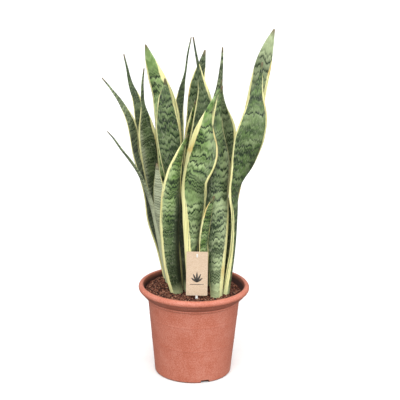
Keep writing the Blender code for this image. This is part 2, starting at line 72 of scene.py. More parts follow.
# Leaves: stations up the middle of each blade, (x, y, z, width, turn) in millimetres and degrees, as in the
# frame. What follows is in millimetres where it is a length:
# margins: width of the cream margin on the -across side at the foot and tip, then on the +across side.
# bare: how far below the tip each margin starts.
# bands: length of its cross bands against the usual one.
# grey: how pale with bloom its green is at the foot and at the tip; 1 is the usual most.
# dark: how deep its green is there, partly its own deep green and partly painted shade; below 0 the bands
# fade, and above 1 painted shade darkens the margins too.
# sides, if any: painted shade added to dark above 0, or painted light added as bloom below 0, towards the
# -across and the +across side.
# plain, if any: length below the tip that has hardly any bands.
LEAVES = {
    "front_left": {
        "margins": (7, 4, 4, 3), "bare": (10, 10), "bands": 0.72,
        "grey": (0.0, 0.0), "dark": (1.4, -0.1), "sides": (-0.5, 1.4),
        "stations": [
            (-30, -26, 162, 28, 20), (-39, -36, 215, 36, 20), (-44, -44, 275, 40, 20),
            (-44, -50, 345, 42, 25), (-39, -52, 401, 36, 35), (-29, -50, 440, 22, 45),
            (-14, -45, 477, 3, 50),
        ],
    },
    "front_centre": {
        "margins": (13, 9, 6, 4), "bare": (65, 30), "bands": 1.0,
        "grey": (0.5, 0.0), "dark": (0.0, 0.1), "sides": (0.0, 0.8),
        "stations": [
            (-1, -30, 168, 26, 30), (-4, -40, 255, 32, 30), (-2, -48, 337, 46, 10), (-3, -54, 394, 54, -30),
            (12, -58, 444, 58, 0), (16, -58, 489, 42, 30), (26, -54, 529, 18, 50), (38, -50, 558, 7, 60),
            (46, -47, 580, 3, 60),
        ],
    },
    "front_right": {
        "margins": (2, 3.5, 12, 3), "bare": (10, 45), "bands": 1.0,
        "grey": (0.6, 0.15), "dark": (0.0, 0.45), "sides": (1.0, -0.3),
        "stations": [
            (44, -38, 164, 28, 20), (43, -38, 218, 36, 15), (44, -36, 293, 47, 20), (41, -30, 369, 53, 25),
            (45, -26, 425, 46, 35), (39, -26, 482, 34, 45), (40, -26, 528, 16, 45), (46, -26, 564, 4, 40),
        ],
    },
    "right_front": {
        "margins": (8, 2.5, 6, 4.5), "bare": (60, 8), "bands": 1.1,
        "grey": (0.0, 0.0), "dark": (0.9, 0.7), "sides": (0.0, 0.2),
        "stations": [
            (62, -20, 162, 24, 65), (72, -20, 249, 28, 75), (75, -22, 319, 34, 75), (75, -24, 368, 42, 60),
            (88.5, -26, 414, 54, 34), (98, -28, 460, 60, 20), (107, -24, 501, 52, 20),
            (110, -18, 541, 30, 20), (115, -12, 576, 10, 25), (118, -8, 605, 3, 30),
        ],
    },
    "right_tall": {
        "margins": (4, 5, 4, 4), "bare": (56, 75), "bands": 1.1,
        "grey": (0.3, 0.7), "dark": (0.6, 0.5), "plain": 48,
        "stations": [
            (58, 26, 165, 24, 135), (67, 32, 272, 32, 120), (81, 40, 369, 40, 120), (102, 48, 454, 42, 150),
            (114, 54, 539, 38, 150), (123, 56, 588, 32, 165), (132, 57, 624, 20, 160),
            (141, 58, 654, 3, 160),
        ],
    },
    "right_rear": {
        "margins": (9, 5, 2, 2), "bare": (110, 80), "bands": 0.9,
        "grey": (0.0, 0.7), "dark": (1.0, 0.45), "sides": (0.0, 0.4),
        "stations": [
            (33, 16, 166, 24, 145), (41, 18, 276, 44, 140), (49, 22, 393, 56, 140), (51, 26, 469, 54, 155),
            (42, 28, 516, 34, 150), (42, 28, 548, 16, 145), (45, 29, 589, 7, 145), (46, 30, 624, 3, 145),
        ],
    },
    "young_centre": {
        "margins": (4, 3, 2, 2), "bare": (6, 6), "bands": 0.6,
        "grey": (0.0, 0.0), "dark": (0.6, 0.3), "sides": (0.0, 0.6),
        "stations": [
            (19, -34, 168, 18, 30), (17, -46, 262, 18, 20), (20, -52, 302, 20, 30), (26, -55, 338, 16, 35),
            (35, -53, 364, 3, 40),
        ],
    },
    "centre_tall": {
        "margins": (4, 4, 5, 4), "bare": (70, 45), "bands": 0.9,
        "grey": (0.1, 0.2), "dark": (1.4, 1.0),
        "stations": [
            (2, 6, 167, 24, -30), (0, 4, 280, 38, -25), (1, 0, 398, 48, -20), (11, -2, 475, 46, -20),
            (13, -2, 532, 34, -35), (7, 0, 572, 16, -45), (-1, 2, 609, 6, -50), (-8, 4, 647, 3, -50),
        ],
    },
    "centre_narrow": {
        "margins": (6, 5, 5, 5), "bare": (6, 6), "bands": 0.7,
        "grey": (0.1, 0.1), "dark": (0.8, 0.3),
        "stations": [
            (-15, 18, 166, 16, 45), (-18, 22, 293, 16, 55), (-18, 24, 391, 18, 60), (-16, 26, 458, 16, 55),
            (-8, 27, 496, 11, 50), (-2, 28, 523, 3, 50),
        ],
    },
    "centre_back": {
        "margins": (2, 2, 2, 2), "bare": (25, 25), "bands": 0.9,
        "grey": (0.2, 0.45), "dark": (1.6, 0.9),
        "stations": [
            (-2, 38, 168, 24, 145), (-6, 40, 288, 36, 150), (-3, 42, 406, 46, 145), (0, 42, 489, 44, 145),
            (1, 42, 544, 34, 145), (8, 42, 582, 20, 145), (14, 42, 616, 3, 145),
        ],
    },
    "centre_rear": {
        "margins": (3, 3, 4, 4), "bare": (120, 105), "bands": 0.8,
        "grey": (0.1, 0.2), "dark": (1.0, 0.9),
        "stations": [
            (-21, 64, 166, 24, -135), (-27, 66, 279, 34, -135), (-35, 70, 398, 42, -125),
            (-36, 72, 495, 38, -120), (-29, 72, 537, 22, -120), (-22, 72, 568, 9, -115),
            (-18, 72, 602, 6, -115), (-12, 72, 634, 3, -115),
        ],
    },
    "left_broad": {
        "margins": (4, 3.2, 2, 1.5), "bare": (8, 25), "bands": 0.95,
        "grey": (0.0, 0.1), "dark": (1.6, 0.7), "sides": (0.0, 0.3),
        "stations": [
            (-15, -7, 165, 22, -65), (-21, -12, 245, 28, -65), (-32, -14, 314, 38, -50),
            (-39, -14, 382, 44, -25), (-48, -14, 439, 46, -15), (-54, -12, 486, 46, -20),
            (-58, -10, 532, 30, -25), (-57, -8, 558, 11, -30), (-58, -8, 572, 3, -30),
        ],
    },
    "left_tall": {
        "margins": (4, 4, 8, 8), "bare": (12, 34), "bands": 1.1,
        "grey": (0.3, 0.1), "dark": (0.5, 0.0), "plain": 52,
        "stations": [
            (-29, 14, 170, 26, -45), (-38, 14, 276, 36, -45), (-48, 14, 384, 48, -20),
            (-53, 16, 470, 52, -15), (-61, 18, 526, 46, -20), (-75, 20, 567, 36, -25),
            (-87, 22, 600, 22, -30), (-95, 24, 628, 3, -30),
        ],
    },
    "left_grey": {
        "margins": (3, 2, 3, 2), "bare": (5, 5), "bands": 0.35,
        "grey": (1.3, 1.3), "dark": (-0.3, -0.3),
        "stations": [
            (-35, -8, 170, 24, -45), (-51, -10, 244, 26, -50), (-65, -12, 303, 30, -45),
            (-68, -12, 358, 26, -35), (-70, -10, 388, 14, -30), (-72, -8, 412, 3, -30),
        ],
    },
    "left_low": {
        "margins": (0, 0, 0, 0), "bare": (60, 60), "bands": 0.45,
        "grey": (1.6, 0.7), "dark": (-1.6, 0.3),
        "stations": [
            (-49, 26, 165, 20, -50), (-65, 22, 241, 22, -65), (-79, 18, 310, 24, -70),
            (-90, 14, 348, 24, -65), (-105, 10, 385, 22, -65), (-122, 6, 413, 18, -60),
            (-138, 4, 434, 13, -60), (-153, 3, 456, 7, -60), (-164, 2, 469, 3, -60),
        ],
    },
    "left_mid": {
        "margins": (7, 6, 4, 4), "bare": (90, 70), "bands": 0.5,
        "grey": (0.2, 0.4), "dark": (0.9, 0.65), "sides": (0.5, -1.1),
        "stations": [
            (-37, 40, 164, 22, -135), (-60, 44, 256, 28, -130), (-75, 46, 315, 34, -125),
            (-84, 46, 374, 46, -130), (-89, 45, 427, 46, -145), (-96, 42, 472, 34, -140),
            (-101, 40, 514, 16, -110), (-101, 38, 549, 8, -120), (-98, 36, 581, 3, -120),
        ],
    },
    "left_outer": {
        "margins": (3, 3, 5, 1.5), "bare": (60, 60), "bands": 0.6,
        "grey": (0.2, 0.65), "dark": (0.9, 0.4),
        "stations": [
            (-53, 56, 164, 20, -130), (-69, 56, 227, 24, -115), (-86, 56, 282, 28, -115),
            (-94, 56, 341, 30, -115), (-114, 56, 410, 32, -110), (-122, 54, 467, 26, -125),
            (-141, 50, 510, 14, -120), (-161, 46, 541, 6, -115), (-176, 44, 560, 3, -115),
        ],
    },
    "left_rear": {
        "margins": (6, 6, 3, 2), "bare": (75, 75), "bands": 0.6,
        "grey": (0.1, 0.2), "dark": (1.1, 0.8),
        "stations": [
            (-40, 70, 166, 22, -145), (-66, 84, 253, 30, -130), (-91, 92, 341, 36, -125),
            (-105, 94, 429, 38, -125), (-112, 92, 498, 28, -130), (-125, 90, 537, 13, -125),
            (-132, 88, 570, 6, -120), (-138, 86, 597, 3, -120),
        ],
    },
}


# ---------------------------------------------------------------- numbers and meshes


def linear(hex_colour):
    """Linear RGB of an sRGB hex colour."""
    srgb = np.array([int(hex_colour[k:k + 2], 16) for k in (0, 2, 4)]) / 255
    return tuple(np.where(srgb <= 0.04045, srgb / 12.92, ((srgb + 0.055) / 1.055) ** 2.4))


def smooth_step(low, high, values):
    """0 below low, 1 above high, and 3t^2 - 2t^3 between."""
    t = np.clip((values - low) / (high - low), 0, 1)
    return t * t * (3 - 2 * t)


def smooth_curve(knots, values, at):
    """Cubic Hermite curve through the values, with each slope taken from the two neighbours."""
    slopes = np.empty_like(values)
    slopes[1:-1] = (values[2:] - values[:-2]) / (knots[2:] - knots[:-2])[:, None]
    slopes[0] = (values[1] - values[0]) / (knots[1] - knots[0])
    slopes[-1] = (values[-1] - values[-2]) / (knots[-1] - knots[-2])
    i = np.clip(np.searchsorted(knots, at, side="right") - 1, 0, len(knots) - 2)
    span = (knots[i + 1] - knots[i])[:, None]
    s = (at - knots[i])[:, None] / span
    rise = (-2 * s**3 + 3 * s**2) * (values[i + 1] - values[i])
    lean = (s**3 - 2 * s**2 + s) * span * slopes[i] + (s**3 - s**2) * span * slopes[i + 1]
    return values[i] + rise + lean


def lattice_noise(points, seed):
    """Smooth noise from -1 to 1: random values at whole points, blended by 3t^2 - 2t^3 along each axis."""
    cell = np.floor(points).astype(np.int64)
    t = points - cell
    t = t * t * (3 - 2 * t)
    total = np.zeros(points.shape[:-1])
    for corner in range(8):
        step = np.array([corner & 1, corner >> 1 & 1, corner >> 2 & 1])
        x, y, z = np.moveaxis(cell + step, -1, 0)
        mixed = (x * 374761393 + y * 668265263 + z * 1440662683 + seed * 974634777) & 0xFFFFFFFF
        mixed = ((mixed ^ (mixed >> 13)) * 1274126177) & 0xFFFFFFFF
        mixed ^= mixed >> 16
        weight = np.prod(np.where(step, t, 1 - t), axis=-1)
        total += weight * (mixed / 0xFFFFFFFF * 2 - 1)
    return total


def fractal_noise(x, y, size, seed, octaves=3):
    """Sum of lattice noises over a plane, each half the size and half the height of the one before."""
    total = np.zeros(np.broadcast(x, y).shape)
    for octave in range(octaves):
        scale = 2**octave / size
        level = np.float64(octave + 0.37)
        points = np.stack(np.broadcast_arrays(x * scale, y * scale, level), axis=-1)
        total += lattice_noise(points, seed + octave) / 2**octave
    return total


def closed_faces(rows, columns, inside_out=False):
    """Quads of a grid of points, row by row, joined into a tube with a cap over its first and last row."""
    row = np.arange(rows - 1)[:, None] * columns
    column = np.arange(columns)[None]
    after = (column + 1) % columns
    quads = np.stack([row + column, row + after, row + columns + after, row + columns + column], axis=-1)
    last_row = (rows - 1) * columns
    caps = [tuple(reversed(range(columns))), tuple(range(last_row, last_row + columns))]
    faces = quads.reshape(-1, 4).tolist() + caps
    return [face[::-1] for face in faces] if inside_out else faces


def add_piece(name, points, faces, finish, replaces=(), attributes=None):
    """A smooth-shaded piece of the plant, with its finish and its place in the frame."""
    mesh = bpy.data.meshes.new(name)
    mesh.from_pydata(np.asarray(points).reshape(-1, 3).tolist(), [], faces)
    mesh.update()
    mesh.shade_smooth()
    for key, values in (attributes or {}).items():
        layer = mesh.attributes.new(key, "FLOAT_VECTOR", "POINT")
        layer.data.foreach_set("vector", np.ascontiguousarray(values, dtype=np.float32).ravel())
    mesh.materials.append(finish)
    piece = bpy.data.objects.new(name, mesh)
    bpy.context.scene.collection.objects.link(piece)
    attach(piece, "root")
    for node in replaces:
        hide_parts(node)
    return piece


def finish_node(name, finish):
    """Gives a node of the frame, kept as it is, its finish."""
    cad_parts[name].data.materials.clear()
    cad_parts[name].data.materials.append(finish)


# ---------------------------------------------------------------- materials


def add_node(tree, kind, inputs=(), output=0, ramp=(), **settings):
    """Adds a shader node and gives one of its outputs, or all of them when output is None.

    inputs are its values or links, in order or by name; ramp its colour stops; settings its properties.
    """
    made = tree.nodes.new("ShaderNode" + kind)
    for key, value in settings.items():
        setattr(made, key, value)
    for key, value in (inputs if isinstance(inputs, dict) else dict(enumerate(inputs))).items():
        if isinstance(value, bpy.types.NodeSocket):
            tree.links.new(value, made.inputs[key])
        else:
            made.inputs[key].default_value = value
    if ramp:
        stops = made.color_ramp.elements
        while len(stops) < len(ramp):
            stops.new(1.0)
        for stop, (position, colour) in zip(stops, ramp):
            stop.position = position
            stop.color = (*colour, 1.0) if isinstance(colour, tuple) else (colour, colour, colour, 1.0)
    return made.outputs if output is None else made.outputs[output]


def new_material(name, **surface):
    """An empty node material: its tree and its Principled shader with plain surface values set."""
    made = bpy.data.materials.new(name)
    made.use_nodes = True
    tree = made.node_tree
    shader = tree.nodes["Principled BSDF"]
    for key, value in surface.items():
        shader.inputs[key.replace("_", " ")].default_value = value
    return made, tree, shader


def give_surface(tree, shader, colour, height, strength, depth, roughness=None):
    """Links a colour, a bump from a height pattern, and any roughness pattern to the shader."""
    tree.links.new(colour, shader.inputs["Base Color"])
    bump = add_node(tree, "Bump", {"Height": height, "Strength": strength, "Distance": depth})
    tree.links.new(bump, shader.inputs["Normal"])
    if roughness is not None:
        tree.links.new(roughness, shader.inputs["Roughness"])


def leaf_material(settings):
    """Waxy succulent leaf skin: grown, cross-banded in dark green over grey-green, with cream-yellow margins.

    Three attributes give the place on the blade: leaf_place is (across, along, to the margin) in mm,
    leaf_growth is (band count, to the tip, above the soil) and leaf_tone is (seed, grey, dark). Grey above 0
    mixes in pale bloom. Dark fades the bands below 0; above 0 it deepens the green, partly the leaf's own
    deep green and partly painted shade, and above 1 it darkens the margins too with painted shade. The bands
    are a saw-tooth of the band count, pushed up and down by noise that is fine across the blade and long
    along it, which gives the zigzag lines, dark at their lower edge and fading upwards. Satin, so a soft
    highlight runs down the blade.
    """
    made, tree, shader = new_material("waxy_leaf_skin", IOR=1.45, Coat_Weight=0.12, Coat_Roughness=0.3)
    add = partial(add_node, tree)
    (across, along, margin), (count, to_tip, above_soil), (seed, grey, dark) = (
        add("SeparateXYZ", [add("Attribute", output="Vector", attribute_name=name)], None)
        for name in ("leaf_place", "leaf_growth", "leaf_tone")
    )
    pale, middle, deep, bloom, shade, straw, deep_shade, foot_green, dry = (
        (*linear(value), 1) for value in (
            settings.pale_green, settings.middle_green, settings.deep_green, settings.grey_bloom,
            settings.shade_green, settings.margin_straw, settings.deep_shade, settings.foot_green,
            settings.dry_tip,
        )
    )

    def skin_noise(across_mm, along_way, cell, shift, detail=2.0):
        """Noise with cells so many mm wide across the blade, and so long in mm or in bands along it."""
        x = add("Math", [across, across_mm], operation="DIVIDE")
        y = add("Math", [along_way, cell], operation="DIVIDE")
        z = add("Math", [seed, shift], operation="ADD")
        vector = add("CombineXYZ", [x, y, z])
        return add("TexNoise", {"Vector": vector, "Scale": 1.0, "Detail": detail})

    def wander(reach, *cells):
        """Noise that goes as far below 0 as above it, reach being the whole way."""
        middle_out = add("Math", [skin_noise(*cells), 0.5], operation="SUBTRACT")
        return add("Math", [middle_out, reach], operation="MULTIPLY")

    # Zigzag bands: teeth some 5 mm apart, on slower waves. The saw-tooth gives strong lines, and a faster one
    # gives fine lines between them.
    teeth = wander(1.5, 3.3, along, 32, 3.1)
    waves = wander(1.9, 13, along, 45, 7.7)
    push = add("Math", [teeth, waves], operation="ADD")
    pushed = add("Math", [count, push], operation="ADD")
    saw = add("Math", [pushed], operation="FRACT")
    line_fade = [(0.0, 1.0), (0.20, 1.0), (0.34, 0.5), (0.62, 0.16), (0.93, 0.0), (1.0, 1.0)]
    line = add("ValToRGB", [saw], ramp=line_fade)
    fine_saw = add("Math", [add("Math", [pushed, 1.73], operation="MULTIPLY")], operation="FRACT")
    fine_fade = [(0.0, 1.0), (0.24, 0.8), (0.48, 0.2), (0.86, 0.0), (1.0, 1.0)]
    fine_line = add("ValToRGB", [fine_saw], ramp=fine_fade)

    # Zones of the blade are crowded with fine lines or nearly free. Each line has its own depth.
    zone = add("MapRange", [skin_noise(34, pushed, 2.4, 13.3, 1.0), 0.42, 0.60])
    line_number = add("Math", [add("Math", [pushed], operation="FLOOR"), seed], operation="ADD")
    own = add("TexWhiteNoise", {"W": line_number}, noise_dimensions="1D")
    own = add("MapRange", [own, 0.05, 0.5, 0.5, 1.0])
    broken = add("MapRange", [skin_noise(11, pushed, 0.9, 17.1, 1.0), 0.36, 0.50, 0.6, 1.0])
    depth = add("Math", [own, broken], operation="MULTIPLY")
    band = add("Math", [line, depth], operation="MULTIPLY")
    crowded = add("MapRange", [zone, 0, 1, 0.28, 0.95])
    fine_line = add("Math", [fine_line, crowded], operation="MULTIPLY")
    band = add("Math", [band, fine_line], operation="MAXIMUM")
    flecks = add("MapRange", [skin_noise(1.7, along, 5.0, 21.0), 0.50, 0.68])
    flecks = add("Math", [flecks, 0.40], operation="MULTIPLY")
    band = add("Math", [band, flecks], operation="MAXIMUM")
    fill = add("Math", [zone, 0.20], operation="MULTIPLY")
    band = add("Math", [add("Math", [band, fill], operation="ADD"), 1.0], operation="MINIMUM")
    left = add("MapRange", [dark, -1.0, 0.0, 0.15, 1.0])
    band = add("Math", [band, left], operation="MULTIPLY")

    # The face: light patches, bloom, depth of green that is partly painted shade, the bands, and fine pale
    # streaks of wax, clearest on dark blades.
    patches = add("MapRange", [skin_noise(22, pushed, 0.9, 31.0, 1.0), 0.40, 0.58])
    free = add("MapRange", [zone, 0, 1, 1.0, 0.3])
    light = add("Math", [patches, free], operation="MULTIPLY")
    bloomed = add("Math", [add("Math", [grey, 1.1], operation="MINIMUM"), 0.8], operation="MULTIPLY")
    shaded = add("MapRange", [dark, 0.0, 1.2, 0.0, 0.9])
    wax = add("MapRange", [skin_noise(1.5, along, 7.0, 83.0), 0.56, 0.70])
    wax = add("Math", [wax, add("MapRange", [dark, 0, 1, 0.10, 0.42])], operation="MULTIPLY")
    face = middle
    for share, colour in ((light, pale), (bloomed, bloom), (shaded, shade), (band, deep), (wax, bloom)):
        face = add("Mix", {0: share, 6: face, 7: colour}, 2, data_type="RGBA")

    # Cream margin, with a ragged inner edge, fine streaks, and stretches that turn straw yellow or tan.
    ragged = wander(2.6, 40, along, 11, 41.0)
    inside = add("Math", [margin, ragged], operation="ADD")
    cream_here = add("MapRange", [inside, -0.5, 0.5, 1.0, 0.0])
    stripe = add("MapRange", [skin_noise(1.7, along, 260, 47.0), 0.60, 0.64])
    stripe = add("Math", [stripe, 0.7], operation="MULTIPLY")
    unstriped = add("Math", [1.0, stripe], operation="SUBTRACT")
    cream_here = add("Math", [cream_here, unstriped], operation="MULTIPLY")
    creams = [(0.36, linear(settings.margin_shade)), (0.56, linear(settings.margin_cream))]
    streak = add("ValToRGB", [skin_noise(1.1, along, 60, 51.0, 3.0)], ramp=creams)
    old = add("MapRange", [skin_noise(60, along, 60, 57.0), 0.56, 0.72, 0.0, 0.75])
    streak = add("Mix", {0: old, 6: streak, 7: straw}, 2, data_type="RGBA")

    # Over all of it: painted shade in the deep shade colour where a blade's dark tone goes past 1, over its
    # margins too, a pale foot where the blade leaves the soil, and a dry brown point.
    shadow = add("MapRange", [dark, 1.0, 2.0, 0.0, 0.85])
    foot = add("Math", [above_soil, add("Math", [ragged, 6.0], operation="MULTIPLY")], operation="ADD")
    foot = add("MapRange", [foot, 2.0, 22.0, 0.6, 0.0])
    point = add("MapRange", [to_tip, 2.0, 14.0, 0.9, 0.0])
    skin = face
    for share, colour in ((cream_here, streak), (shadow, deep_shade), (foot, foot_green), (point, dry)):
        skin = add("Mix", {0: share, 6: skin, 7: colour}, 2, data_type="RGBA")

    gloss = add("MapRange", {0: skin_noise(6, along, 18, 61.0), 3: 0.36, 4: 0.52})
    # Fine ribs about 1 mm apart run along the blade, and the dark bands sink a little.
    ribs = skin_noise(0.9, along, 70, 71.0)
    relief = add("Math", [ribs, add("Math", [band, 0.3], operation="MULTIPLY")], operation="SUBTRACT")
    give_surface(tree, shader, skin, relief, 0.35, 0.4 * MM, gloss)
    return made


def pot_material(settings):
    """Injection-moulded polypropylene, terracotta coloured: fine spark-eroded grain, mottled, half matt."""
    made, tree, shader = new_material("moulded_terracotta_plastic", IOR=1.49)
    add = partial(add_node, tree)
    place = add("TexCoord", output="Object")
    # Grain of about 1.7 mm shows as a soft mottle at a distance; the broad cloud is uneven pigment and dust.
    grain = add("TexNoise", {"Vector": place, "Scale": 1 / (1.7 * MM), "Detail": 2.0})
    cloud = add("TexNoise", {"Vector": place, "Scale": 1 / (28 * MM), "Detail": 4.0})
    part = add("Math", [cloud, 0.3], operation="MULTIPLY")
    mottle = add("Math", [grain, 0.7, part], operation="MULTIPLY_ADD")
    stops = ((0.40, settings.deep_colour), (0.50, settings.colour), (0.61, settings.dust_colour))
    colour = add("ValToRGB", [mottle], ramp=[(position, linear(value)) for position, value in stops])
    # Below the lip, the inside is darkened, down to a little way under the soil's top: partly a damp-soil
    # stain and partly painted shade of the inner wall.
    x, y, height = add("SeparateXYZ", [place], None)
    radius = add("VectorMath", [add("CombineXYZ", [x, y])], "Value", operation="LENGTH")
    slope = 0.2
    reach = settings.inner_rim_radius - slope * POT_HIGH.z
    wall_line = add("Math", [height, slope, reach], operation="MULTIPLY_ADD")
    inward = add("Math", [wall_line, radius], operation="SUBTRACT")
    inside = add("MapRange", [inward, -1.5 * MM, 0.5 * MM])
    above = add("MapRange", [height, 154 * MM, 158 * MM])
    under_lip = add("MapRange", [height, POT_HIGH.z - 1.0 * MM, POT_HIGH.z - 3.5 * MM])
    ring = add("Math", [under_lip, above], operation="MULTIPLY")
    stain_and_painted_shade = add("Math", [inside, ring], operation="MULTIPLY")
    # Painted shade: the underside and the walls of the slots are darkened, so the slots in the foot show as
    # dark gaps.
    below = add("MapRange", [height, 9 * MM, 7 * MM])
    foot = settings.wall_radius_foot
    under = add("MapRange", [radius, foot - 0.4 * MM, foot - 1.0 * MM])
    painted_underside_shade = add("Math", [below, under], operation="MULTIPLY")
    stain_and_painted_shade = add("Math", [stain_and_painted_shade, painted_underside_shade], operation="MAXIMUM")
    stained_and_shaded = {0: stain_and_painted_shade, 6: colour, 7: (*linear(settings.stain_and_shade_colour), 1)}
    colour = add("Mix", stained_and_shaded, 2, data_type="RGBA")
    rough = add("MapRange", {0: cloud, 3: 0.42, 4: 0.58})
    give_surface(tree, shader, colour, grain, 0.45, 0.35 * MM, rough)
    return made


def soil_material(settings, name):
    """Damp peat and coir: red-brown crumbs from near black to tan, quite matt, with a rough surface."""
    made, tree, shader = new_material(name, Roughness=0.95, IOR=1.4)
    add = partial(add_node, tree)
    place = add("TexCoord", output="Object")
    crumb = add("TexNoise", {"Vector": place, "Scale": 1 / (3.0 * MM), "Detail": 5.0, "Roughness": 0.7})
    own = add("Attribute", output="Fac", attribute_name="crumb_tone")
    value = add("Math", [crumb, own], operation="ADD")
    stops = (
        (0.34, settings.dark_colour), (0.54, settings.colour),
        (0.72, settings.fibre_colour), (0.95, settings.pale_fibre_colour),
    )
    colour = add("ValToRGB", [value], ramp=[(position, linear(value)) for position, value in stops])
    give_surface(tree, shader, colour, crumb, 0.9, 1.2 * MM)
    return made


def speckled_material(name, colours, size, roughness, bump_depth, stretch=(1, 1, 1)):
    """A finish of two or three close colours in noise of the given grain size, with a matching fine bump."""
    made, tree, shader = new_material(name, Roughness=roughness)
    add = partial(add_node, tree)
    place = add("TexCoord", output="Object")
    scaled = add("Mapping", {"Vector": place, "Scale": stretch})
    grain = add("TexNoise", {"Vector": scaled, "Scale": 1 / size, "Detail": 4.0})
    stops = [(0.34 + 0.34 * k / (len(colours) - 1), linear(colour)) for k, colour in enumerate(colours)]
    give_surface(tree, shader, add("ValToRGB", [grain], ramp=stops), grain, 0.5, bump_depth)
    return made


# ---------------------------------------------------------------- leaves


def leaf_grid(stations, settings):
    """Centre line, directions and width of a blade at even steps from its end in the soil to its tip.

    The centre line is a smooth curve through the stations; the blade's across direction is level and turned
    by the station's angle, then squared up to the line.
    """
    table = np.array(stations, float) * (MM, MM, MM, MM, math.pi / 180)
    run = table[1, :3] - table[0, :3]
    first = table[0].copy()
    first[:3] -= run * (table[0, 2] - LEAF_END) / run[2]
    first[3] *= 0.9
    table = np.vstack([first, table])
    knots = np.concatenate([[0.0], np.cumsum(np.linalg.norm(np.diff(table[:, :3], axis=0), axis=1))])
    at = np.linspace(0, knots[-1], settings.rings)
    blade = smooth_curve(knots, table, at)
    centre, turn = blade[:, :3], blade[:, 4]
    width = np.maximum(blade[:, 3], settings.tip_width)
    along = np.gradient(centre, axis=0)
    along /= np.linalg.norm(along, axis=1)[:, None]
    across = np.stack([np.cos(turn), np.sin(turn), np.zeros(len(at))], axis=1)
    across -= along * (across * along).sum(axis=1)[:, None]
    across /= np.linalg.norm(across, axis=1)[:, None]
    return at, centre, across, np.cross(along, across), width


def make_leaf(name, leaf, number, finish, settings):
    """One blade: at each step an arc-shaped section, thick in the middle, with rounded thin margins.

    The arc bends round a deep angle at the foot and a shallow one above. The half thickness is the margin's
    plus the rest times (1 - u^2)^0.8, and it closes to nothing as sqrt(1 - u^20) at the margins. The margins
    wave a little in and out and to and fro, by smooth noise along the blade.
    """
    at, centre, across, hollow, width = leaf_grid(leaf["stations"], settings)
    length = at[-1]
    part_way = at / length
    half_angle = np.linspace(-math.pi / 2, math.pi / 2, settings.points_across)
    u = np.sin(half_angle) * 0.35 + np.linspace(-1, 1, settings.points_across) * 0.65
    u = u[None]
    low, high = settings.channel_base, settings.channel_top
    bend = (low + (high - low) * np.clip(1.25 * part_way, 0, 1) ** 0.8)[:, None]
    still = smooth_step(0.0, 0.12, part_way)[:, None] * smooth_step(0.0, 0.10, 1 - part_way)[:, None]
    side = np.where(u < 0, 3.1, 8.7)
    wave_length = 34 * MM
    wave_place = np.stack(np.broadcast_arrays(at[:, None] / wave_length, side, np.float64(number)), axis=-1)
    ripple = lattice_noise(wave_place, 11) * still
    flutter = lattice_noise(wave_place + 40.5, 12) * still
    spread = 1 + settings.ripple * ripple * u**2
    radius = width[:, None] / 2 / bend
    middle = radius * np.sin(bend) / bend
    aside = radius * np.sin(bend * u) * spread
    inward = middle - radius * np.cos(bend * u) + settings.flutter * flutter * u**4
    thick = settings.thickness_base + (settings.thickness_tip - settings.thickness_base) * part_way
    thick = np.minimum(thick, 0.45 * width)[:, None]
    edge = np.minimum(settings.margin_thickness, 0.45 * width[:, None])
    half = (edge + (thick - edge).clip(0) * (1 - u**2) ** 0.8) / 2 * np.sqrt(1 - u**20)
    faces_out = []
    for sign in (1, -1):
        x = aside - sign * half * np.sin(bend * u)
        y = inward + sign * half * np.cos(bend * u)
        faces_out.append(centre[:, None] + across[:, None] * x[..., None] + hollow[:, None] * y[..., None])
    # The two faces share the points where they meet at the margins.
    ring = np.concatenate([faces_out[0], faces_out[1][:, -2:0:-1]], axis=1)
    along_ring = np.concatenate([u, u[:, -2:0:-1]], axis=1)
    rows, columns = ring.shape[:2]
    faces = closed_faces(rows, columns, inside_out=True)

    half_width = width[:, None] / 2 / MM
    to_side = (1 - np.abs(along_ring)) * half_width
    to_tip = ((length - at) / MM)[:, None]
    rise = smooth_step(0.1, 0.7, part_way)[:, None]
    minus_foot, minus_tip, plus_foot, plus_tip = leaf["margins"]
    shrink = np.minimum(1, half_width / 12)
    minus_start, plus_start = (smooth_step(-8, 35, to_tip - bare) for bare in leaf["bare"])
    minus = (minus_foot + (minus_tip - minus_foot) * rise) * shrink * minus_start
    plus = (plus_foot + (plus_tip - plus_foot) * rise) * shrink * plus_start
    # A margin under 0.3 mm wide is moved off the blade, so its ragged edge leaves no crumbs of cream.
    margin = to_side - np.where(along_ring < 0, minus, plus)
    margin = margin + np.where(along_ring < 0, minus < 0.3, plus < 0.3)
    above = (at - (SOIL_HIGH.z - LEAF_END)) / MM
    longer = settings.band_length_top - settings.band_length_base
    period = settings.band_length_base + longer * smooth_step(0, 200, above)
    steps = np.gradient(at / MM) / (period * leaf["bands"])
    count = np.cumsum(steps)[:, None] + number * 0.37
    full = np.ones((rows, columns))
    # grey and dark run from foot to tip; dark is partly the blade's own deep green and partly painted shade.
    change = smooth_step(0.15, 0.9, part_way)[:, None]
    grey, dark = (low + (high - low) * change for low, high in (leaf["grey"], leaf["dark"]))
    # Painted shade darkens the -across or +across side where sides is above 0, and painted light pales it
    # with bloom where sides is below 0; both fade out towards the tip.
    minus_painted_shading, plus_painted_shading = leaf.get("sides", (0.0, 0.0))
    sides = minus_painted_shading * smooth_step(0.05, 0.8, -along_ring) + plus_painted_shading * smooth_step(0.05, 0.8, along_ring)
    sides = sides * smooth_step(0.05, 0.35, 1 - part_way)[:, None]
    plain = smooth_step(-10, 10, leaf.get("plain", 0) - to_tip)
    grey = grey - sides.clip(max=0)
    dark = (dark + sides) * (1 - plain) - 0.75 * plain
    place = np.stack([along_ring * half_width, (at / MM)[:, None] * full, margin], axis=-1)
    growth = np.stack([count * full, to_tip * full, above[:, None] * full], axis=-1)
    tone = np.stack([full * number * 17.3, full * grey, full * dark], axis=-1)
    attributes = {"leaf_place": place, "leaf_growth": growth, "leaf_tone": tone}
    return add_piece("blade_" + name, ring, faces, finish, ["leaf_" + name], attributes)


# ---------------------------------------------------------------- pot


